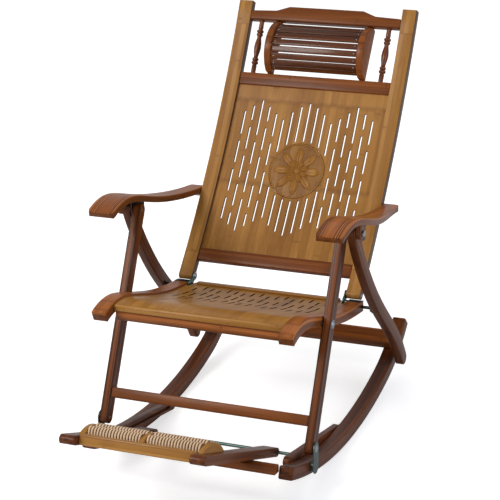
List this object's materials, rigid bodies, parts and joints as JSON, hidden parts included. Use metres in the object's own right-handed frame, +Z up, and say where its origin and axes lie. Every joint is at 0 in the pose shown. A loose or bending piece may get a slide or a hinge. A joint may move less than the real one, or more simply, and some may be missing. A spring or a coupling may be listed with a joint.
{
  "type": "folding rocking chair",
  "caption": "Folding bamboo rocking chair: curved rockers, hinged slotted back with medallion and headrest, slotted seat, armrests on folding legs and a sliding roller footrest.",
  "frame": {"origin": "on the ground under the middle of the chair's bounding box, chair standing on its rockers", "axes": "+Z up, +Y towards the back of the chair, +X towards the sitter's left"},
  "size_m": [0.656, 1.3222, 0.9275],
  "materials": {
    "bamboo_back": "satin, clear lacquered bamboo laminate",
    "bamboo_stile": "satin, golden bamboo laminate",
    "bamboo_seat": "satin, amber bamboo laminate",
    "carbonised_rail": "satin, reddish-brown carbonised bamboo",
    "carbonised_leg": "satin, brown carbonised bamboo",
    "carbonised_arm": "satin, brown carbonised bamboo",
    "dark_turned": "gloss, dark red-brown turned wood",
    "roller_wood": "matt, pale wood",
    "medallion_wood": "matt, pale carved bamboo",
    "zinc": "zinc plated"
  },
  "bodies": {
    "base": {"rocker_left": "carbonised_leg", "rocker_right": "carbonised_leg", "base_front_crossbar": "carbonised_rail", "base_rear_crossbar": "carbonised_rail", "foot_plates": "zinc", "foot_bolts": "zinc", "footrest_guide_left": "carbonised_leg", "footrest_guide_right": "carbonised_leg"},
    "front_legs": {"front_leg_left": "carbonised_leg", "front_leg_right": "carbonised_leg", "front_stretcher": "carbonised_rail", "seat_bolts": "zinc", "top_bolts": "zinc"},
    "rear_legs": {"rear_leg_left": "carbonised_leg", "rear_leg_right": "carbonised_leg", "seat_hooks": "zinc"},
    "seat": {"seat_rail_left": "bamboo_seat", "seat_rail_right": "bamboo_seat", "seat_pins": "zinc", "seat_panel": "bamboo_seat", "seat_front_rail": "bamboo_seat", "seat_rear_rail": "bamboo_seat", "hinge_brackets": "zinc"},
    "backrest": {"back_stile_left": "bamboo_stile", "back_stile_right": "bamboo_stile", "hinge_pins": "zinc", "arm_pins": "zinc", "bottom_rail": "carbonised_rail", "neck_rail": "carbonised_rail", "crest_rail": "carbonised_rail", "back_panel": "bamboo_back", "medallion": "medallion_wood", "spindles": "dark_turned", "headrest_end_left": "dark_turned", "headrest_end_right": "dark_turned", "headrest_slats": "dark_turned"},
    "armrests": {"armrest_left": "carbonised_arm", "armrest_right": "carbonised_arm", "arm_lugs": "zinc", "arm_cleats": "carbonised_arm", "arm_keepers": "carbonised_arm"},
    "footrest_rod": {"footrest_rod": "zinc"},
    "footrest": {"footrest_arm_left": "carbonised_leg", "footrest_arm_right": "carbonised_leg", "footrest_front_rail": "bamboo_seat", "footrest_rear_rail": "carbonised_rail", "roller_end_left": "roller_wood", "roller_end_right": "roller_wood", "roller_divider": "roller_wood", "roller_axles": "zinc"},
    "roller_1": {"roller_1": "roller_wood"},
    "roller_2": {"roller_2": "roller_wood"},
    "roller_3": {"roller_3": "roller_wood"},
    "roller_4": {"roller_4": "roller_wood"},
    "roller_5": {"roller_5": "roller_wood"},
    "roller_6": {"roller_6": "roller_wood"}
  },
  "joints": [
    {"name": "front_leg_fold", "type": "hinge", "parent": "base", "child": "front_legs", "pos_m": [0, -0.27118, 0.11377], "axis": [1, 0, 0], "range_deg": [-48, 0]},
    {"name": "rear_leg_fold", "type": "hinge", "parent": "front_legs", "child": "rear_legs", "pos_m": [0, -0.01207, 0.56248], "axis": [1, 0, 0], "range_deg": [-64.1, 0.1]},
    {"name": "seat_fold", "type": "hinge", "parent": "front_legs", "child": "seat", "pos_m": [0, -0.12316, 0.3701], "axis": [1, 0, 0], "range_deg": [-0.1, 66.1]},
    {"name": "armrest_fold", "type": "hinge", "parent": "front_legs", "child": "armrests", "pos_m": [0, -0.01207, 0.56248], "axis": [1, 0, 0], "range_deg": [-0.1, 58.1]},
    {"name": "backrest_fold", "type": "hinge", "parent": "seat", "child": "backrest", "pos_m": [0, 0.1604, 0.3191], "axis": [1, 0, 0], "range_deg": [-67.1, 0.1]},
    {"name": "footrest_slide", "type": "slide", "parent": "base", "child": "footrest_rod", "axis": [0, 0.9724, -0.2334], "range_m": [0, 0.245]},
    {"name": "footrest_tilt", "type": "hinge", "parent": "footrest_rod", "child": "footrest", "pos_m": [0, -0.25826, 0.08086], "axis": [1, 0, 0], "range_deg": [-0.1, 7.6]},
    {"name": "roller_1_spin", "type": "hinge", "parent": "footrest", "child": "roller_1", "pos_m": [-0.0735, -0.58677, 0.2543], "axis": [1, 0, 0], "continuous": true},
    {"name": "roller_2_spin", "type": "hinge", "parent": "footrest", "child": "roller_2", "pos_m": [-0.0735, -0.55383, 0.24452], "axis": [1, 0, 0], "continuous": true},
    {"name": "roller_3_spin", "type": "hinge", "parent": "footrest", "child": "roller_3", "pos_m": [-0.0735, -0.52509, 0.22567], "axis": [1, 0, 0], "continuous": true},
    {"name": "roller_4_spin", "type": "hinge", "parent": "footrest", "child": "roller_4", "pos_m": [0.0735, -0.58677, 0.2543], "axis": [1, 0, 0], "continuous": true},
    {"name": "roller_5_spin", "type": "hinge", "parent": "footrest", "child": "roller_5", "pos_m": [0.0735, -0.55383, 0.24452], "axis": [1, 0, 0], "continuous": true},
    {"name": "roller_6_spin", "type": "hinge", "parent": "footrest", "child": "roller_6", "pos_m": [0.0735, -0.52509, 0.22567], "axis": [1, 0, 0], "continuous": true}
  ],
  "couplings": [
    {"joint": "rear_leg_fold", "follows": "front_leg_fold", "ratio": 1.3333},
    {"joint": "seat_fold", "follows": "front_leg_fold", "ratio": -1.375},
    {"joint": "armrest_fold", "follows": "front_leg_fold", "ratio": -1.2083},
    {"joint": "backrest_fold", "follows": "front_leg_fold", "ratio": 1.3958},
    {"joint": "footrest_tilt", "follows": "footrest_slide", "rad_per_m": 0.53428}
  ]
}
